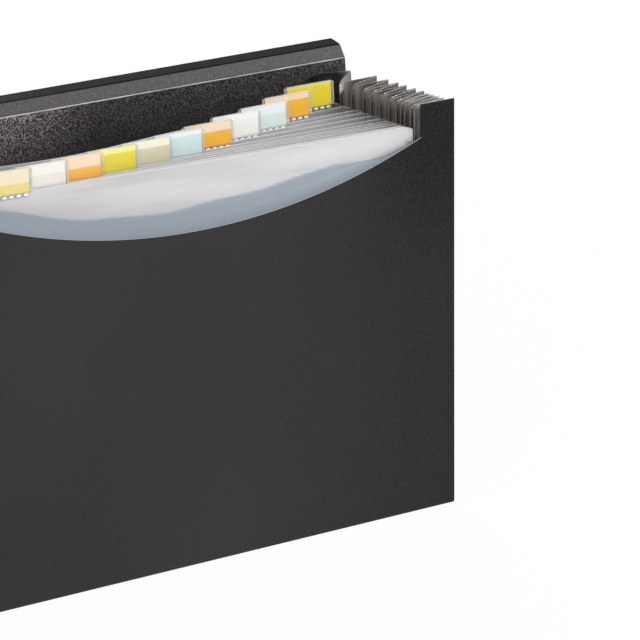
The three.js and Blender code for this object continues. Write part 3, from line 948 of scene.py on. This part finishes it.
    def marks(self, index, name, material):
        """A row of heat-seal dashes under the tab: flat domes on long ovals."""
        s = sizes()
        low, high = card_box(index)
        count = s.weld_marks
        length = (high[0] - low[0]) / count
        radial = np.array([0, 0.35, 0.62, 0.8, 1.0])
        turn = np.linspace(0, 2 * np.pi, 17)[:-1]
        vertices = []
        faces = []
        rim = []
        for k in range(count):
            centre_x = low[0] + (k + 0.5) * length
            centre_z = SHOULDER - 2.2 * MM
            a = radial[:, None] * np.cos(turn) * length * 0.46
            b = radial[:, None] * np.sin(turn) * 1.0 * MM
            rise = 0.35 * MM * (1 - radial[:, None] ** 2) * np.ones_like(a)
            x = centre_x + a
            z = centre_z + b
            y = plane_y(PLANES[name], x, z) - s.film / 2 - 0.25 * MM - rise
            start = len(vertices)
            rim += (np.ones_like(a) * smooth_step(radial[:, None] * 3 - 2)).T.ravel().tolist()
            vertices += np.stack([x, y, z], -1).transpose(1, 0, 2).reshape(-1, 3).tolist()
            faces += (grid_faces(len(turn), len(radial), True)[:, ::-1] + start).tolist()
        mesh = bpy.data.meshes.new(f"{name}_welds")
        mesh.from_pydata(vertices, [], faces)
        layer = mesh.attributes.new("rim", "FLOAT", "POINT")
        layer.data.foreach_set("value", np.asarray(rim, np.float32))
        mesh.polygons.foreach_set("use_smooth", [True] * len(mesh.polygons))
        mesh.materials.append(material)
        piece = bpy.data.objects.new(f"{name}_welds", mesh)
        bpy.context.scene.collection.objects.link(piece)
        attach(piece, BAG)
        return piece


class FOLDER_OT_cards(bpy.types.Operator):
    """Finishes the coloured cards in the tab pockets."""

    bl_idname = "folder.cards"
    bl_label = "Tab Cards"

    def execute(self, context):
        for index, name in enumerate(CARD_NAMES):
            low, high = card_box(index)
            lower, upper, share = CARD_LOOKS[index]
            paper = card_paper(f"card_paper_{index + 1:02d}", low[2], high[2], lower, upper, share)
            node = frame["nodes"][name]
            node.data.materials.clear()
            node.data.materials.append(paper)
        return {"FINISHED"}


class FOLDER_OT_button(bpy.types.Operator):
    """Finishes the closure button and its eyelet."""

    bl_idname = "folder.button"
    bl_label = "Button"

    def execute(self, context):
        looks = {
            "button_disc": material_once("moulded_black", moulded_black),
            "button_spacer": material_once("moulded_black", moulded_black),
            "button_eyelet": material_once("bright_metal", bright_metal),
        }
        for name, material in looks.items():
            node = frame["nodes"][name]
            node.data.materials.clear()
            node.data.materials.append(material)
        return {"FINISHED"}


class FOLDER_OT_studio(bpy.types.Operator):
    """Makes the floor, the light and the camera."""

    bl_idname = "folder.studio"
    bl_label = "Studio"

    def execute(self, context):
        scene = context.scene
        scene.view_settings.view_transform = "Standard"
        self.floor()
        self.world(scene)
        self.lights()
        self.camera(scene)
        return {"FINISHED"}

    def floor(self):
        half = 4.0
        mesh = bpy.data.meshes.new("floor")
        corners = [(-half, -half, 0), (half, -half, 0), (half, half, 0), (-half, half, 0)]
        mesh.from_pydata([(x, y, z - 0.1 * MM) for x, y, z in corners], [], [(0, 1, 2, 3)])
        material, tree, shader = new_material("white_floor")
        shader.inputs["Base Color"].default_value = (0.9, 0.9, 0.9, 1)
        shader.inputs["Roughness"].default_value = 1.0
        glow = tree.nodes.new("ShaderNodeEmission")
        glow.inputs["Strength"].default_value = 1.0
        mix = tree.nodes.new("ShaderNodeMixShader")
        tree.links.new(product(tree, seen_ray(tree), FLOOR_GLOW), mix.inputs["Fac"])
        tree.links.new(shader.outputs["BSDF"], mix.inputs[1])
        tree.links.new(glow.outputs["Emission"], mix.inputs[2])
        output = tree.nodes["Material Output"]
        tree.links.new(mix.outputs["Shader"], output.inputs["Surface"])
        mesh.materials.append(material)
        floor = bpy.data.objects.new("floor", mesh)
        bpy.context.scene.collection.objects.link(floor)

    def world(self, scene):
        world = bpy.data.worlds.new("studio")
        scene.world = world
        world.use_nodes = True
        tree = world.node_tree
        background = tree.nodes["Background"]
        background.inputs["Color"].default_value = (1, 1, 1, 1)
        strength = tree.nodes.new("ShaderNodeMix")
        strength.data_type = "FLOAT"
        sky = tree.nodes.new("ShaderNodeTexCoord")
        way = tree.nodes.new("ShaderNodeSeparateXYZ")
        tree.links.new(sky.outputs["Generated"], way.inputs["Vector"])
        even = scene.folder_studio.world
        level = ramp(tree, way.outputs["Y"], 0.5, -0.5, even * SKY_BEHIND, even * SKY_IN_FRONT)
        tree.links.new(level, strength.inputs["A"])
        strength.inputs["B"].default_value = 1.0
        tree.links.new(seen_ray(tree), strength.inputs["Factor"])
        tree.links.new(strength.outputs["Result"], background.inputs["Strength"])

    def lights(self):
        studio = bpy.context.scene.folder_studio
        self.soft_box("key", (-1.5, -2.0, 1.9), 1.8, studio.key_watts)
        self.soft_box("top", (1.25, -1.15, 1.6), 1.1, studio.top_watts)
        self.soft_box("rear", (0.9, 2.4, 0.45), 1.4, studio.rear_watts)

    def soft_box(self, name, place, size, watts):
        lamp = bpy.data.lights.new(name, "AREA")
        lamp.shape = "SQUARE"
        lamp.size = size
        lamp.energy = watts
        box = bpy.data.objects.new(name, lamp)
        box.location = place
        aim = Vector((0, 0, 0.15)) - Vector(place)
        box.rotation_euler = aim.to_track_quat("-Z", "Y").to_euler()
        bpy.context.scene.collection.objects.link(box)

    def camera(self, scene):
        """A long lens at the fitted angles, aimed from the front panel's right foot."""
        s = scene.folder_studio
        level = np.cos(s.elevation)
        forward = Vector((np.sin(-s.azimuth) * level, np.cos(s.azimuth) * level, -np.sin(s.elevation)))
        right = Vector((np.cos(-s.azimuth), -np.sin(-s.azimuth), 0))
        up = right.cross(forward)
        tilted_right = right * np.cos(s.roll) + up * np.sin(s.roll)
        tilted_up = up * np.cos(s.roll) - right * np.sin(s.roll)
        foot = Vector((HALF_WIDTH, COVER_LOW[1], 0))
        target = foot + tilted_right * s.aim_right + tilted_up * s.aim_up
        data = bpy.data.cameras.new("camera")
        data.sensor_width = SENSOR_WIDTH
        data.lens = s.focal_pixels * SENSOR_WIDTH / FRAME_PIXELS
        data.clip_end = 50
        camera = bpy.data.objects.new("camera", data)
        turn = Matrix((tilted_right, tilted_up, -forward)).transposed()
        camera.matrix_world = Matrix.Translation(target - forward * s.distance) @ turn.to_4x4()
        scene.collection.objects.link(camera)
        scene.camera = camera


class FOLDER_PT_panel(bpy.types.Panel):
    """Lists the folder's operators and sizes."""

    bl_label = "Expanding File Folder"
    bl_idname = "FOLDER_PT_panel"
    bl_space_type = "VIEW_3D"
    bl_region_type = "UI"
    bl_category = "Folder"

    def draw(self, context):
        layout = self.layout
        scene = context.scene
        for step in OPERATORS:
            layout.operator(step.bl_idname)
        for group in (scene.folder_sizes, scene.folder_colours, scene.folder_studio):
            for key in group.__annotations__:
                layout.prop(group, key)


OPERATORS = (
    FOLDER_OT_studio,
    FOLDER_OT_cover,
    FOLDER_OT_gussets,
    FOLDER_OT_dividers,
    FOLDER_OT_cards,
    FOLDER_OT_button,
)
CLASSES = (FolderSizes, FolderColours, StudioSettings, *OPERATORS, FOLDER_PT_panel)


def register():
    for item in CLASSES:
        bpy.utils.register_class(item)
    bpy.types.Scene.folder_sizes = PointerProperty(type=FolderSizes)
    bpy.types.Scene.folder_colours = PointerProperty(type=FolderColours)
    bpy.types.Scene.folder_studio = PointerProperty(type=StudioSettings)


def unregister():
    del bpy.types.Scene.folder_studio
    del bpy.types.Scene.folder_colours
    del bpy.types.Scene.folder_sizes
    for item in reversed(CLASSES):
        bpy.utils.unregister_class(item)


def main():
    register()
    bpy.ops.folder.studio()
    bpy.ops.folder.cover()
    bpy.ops.folder.gussets()
    bpy.ops.folder.dividers()
    bpy.ops.folder.cards()
    bpy.ops.folder.button()


if __name__ == "__main__":
    main()
